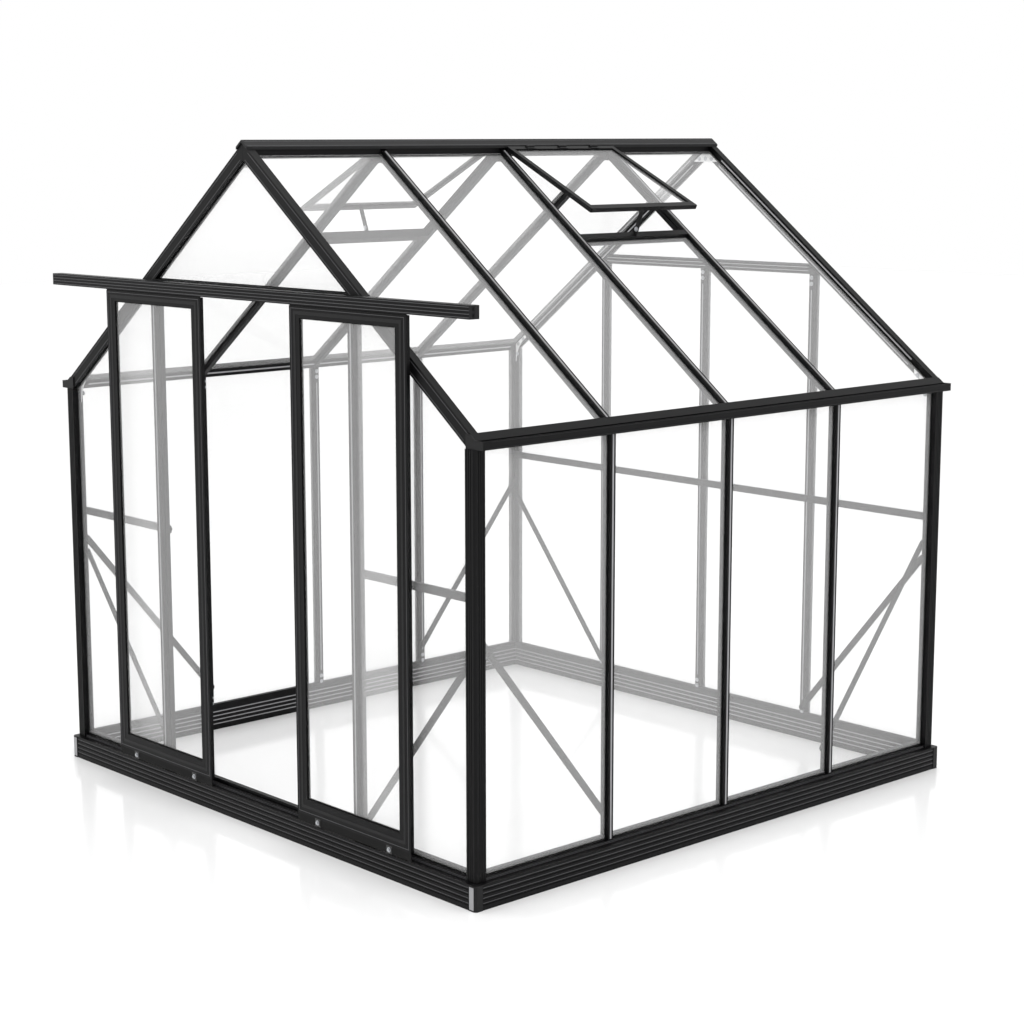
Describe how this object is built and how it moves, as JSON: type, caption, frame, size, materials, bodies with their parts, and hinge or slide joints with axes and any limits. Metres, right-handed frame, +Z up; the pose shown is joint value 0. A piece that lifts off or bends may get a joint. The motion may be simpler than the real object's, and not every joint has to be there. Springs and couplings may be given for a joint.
{
  "type": "glass greenhouse",
  "caption": "Small aluminium-framed glass greenhouse on a low plinth, with sliding doors in the front gable and propped roof vents.",
  "frame": {"origin": "bottom centre, on the ground under the middle of the footprint", "axes": "+X to the right wall seen from the front, -Y to the front gable with the doors, +Z up"},
  "size_m": [2.632, 2.6133, 2.6055],
  "materials": {
    "dark_frame": "satin near-black powder coat",
    "dark_trim": "satin near-black powder coat",
    "pale_plate": "bare, satin",
    "nylon": "moulded, matt",
    "glass": "clear toughened glass"
  },
  "bodies": {
    "house": {"plinth_rails": "dark_frame", "plinth_corners": "dark_trim", "sill_rails": "dark_frame", "corner_posts": "dark_frame", "left_wall_bars": "dark_frame", "right_wall_bars": "dark_frame", "rear_gable_bars": "dark_frame", "door_jambs": "dark_frame", "door_header": "dark_frame", "rear_tie": "dark_frame", "left_eave_rail": "dark_frame", "right_eave_rail": "dark_frame", "eave_corners": "dark_trim", "front_rafters": "dark_frame", "rear_rafters": "dark_frame", "left_roof_bars": "dark_frame", "right_roof_bars": "dark_frame", "ridge_beam": "dark_frame", "ridge_cap": "dark_trim", "left_wall_glass": "glass", "right_wall_glass": "glass", "rear_gable_glass": "glass", "front_gable_glass": "glass", "left_roof_glass": "glass", "right_roof_glass": "glass", "vent_side_rails": "dark_frame", "vent_cross_rails": "dark_frame", "vent_glass": "glass", "vent_sills": "dark_frame", "vent_stays": "dark_trim", "eave_gussets": "pale_plate", "apex_plates": "pale_plate", "mid_rails": "dark_frame", "gable_braces": "dark_frame", "side_braces": "dark_frame", "door_track": "dark_frame", "track_ends": "dark_trim"},
    "left_door": {"left_door_stiles": "dark_frame", "left_door_rails": "dark_frame", "left_door_glass": "glass", "left_door_runners": "nylon"},
    "right_door": {"right_door_stiles": "dark_frame", "right_door_rails": "dark_frame", "right_door_glass": "glass", "right_door_runners": "nylon"}
  },
  "joints": [
    {"name": "left_door_slide", "type": "slide", "parent": "house", "child": "left_door", "axis": [-1, 0, 0], "range_m": [-0.2545, 0.351]},
    {"name": "right_door_slide", "type": "slide", "parent": "house", "child": "right_door", "axis": [1, 0, 0], "range_m": [-0.3025, 0.303]}
  ]
}
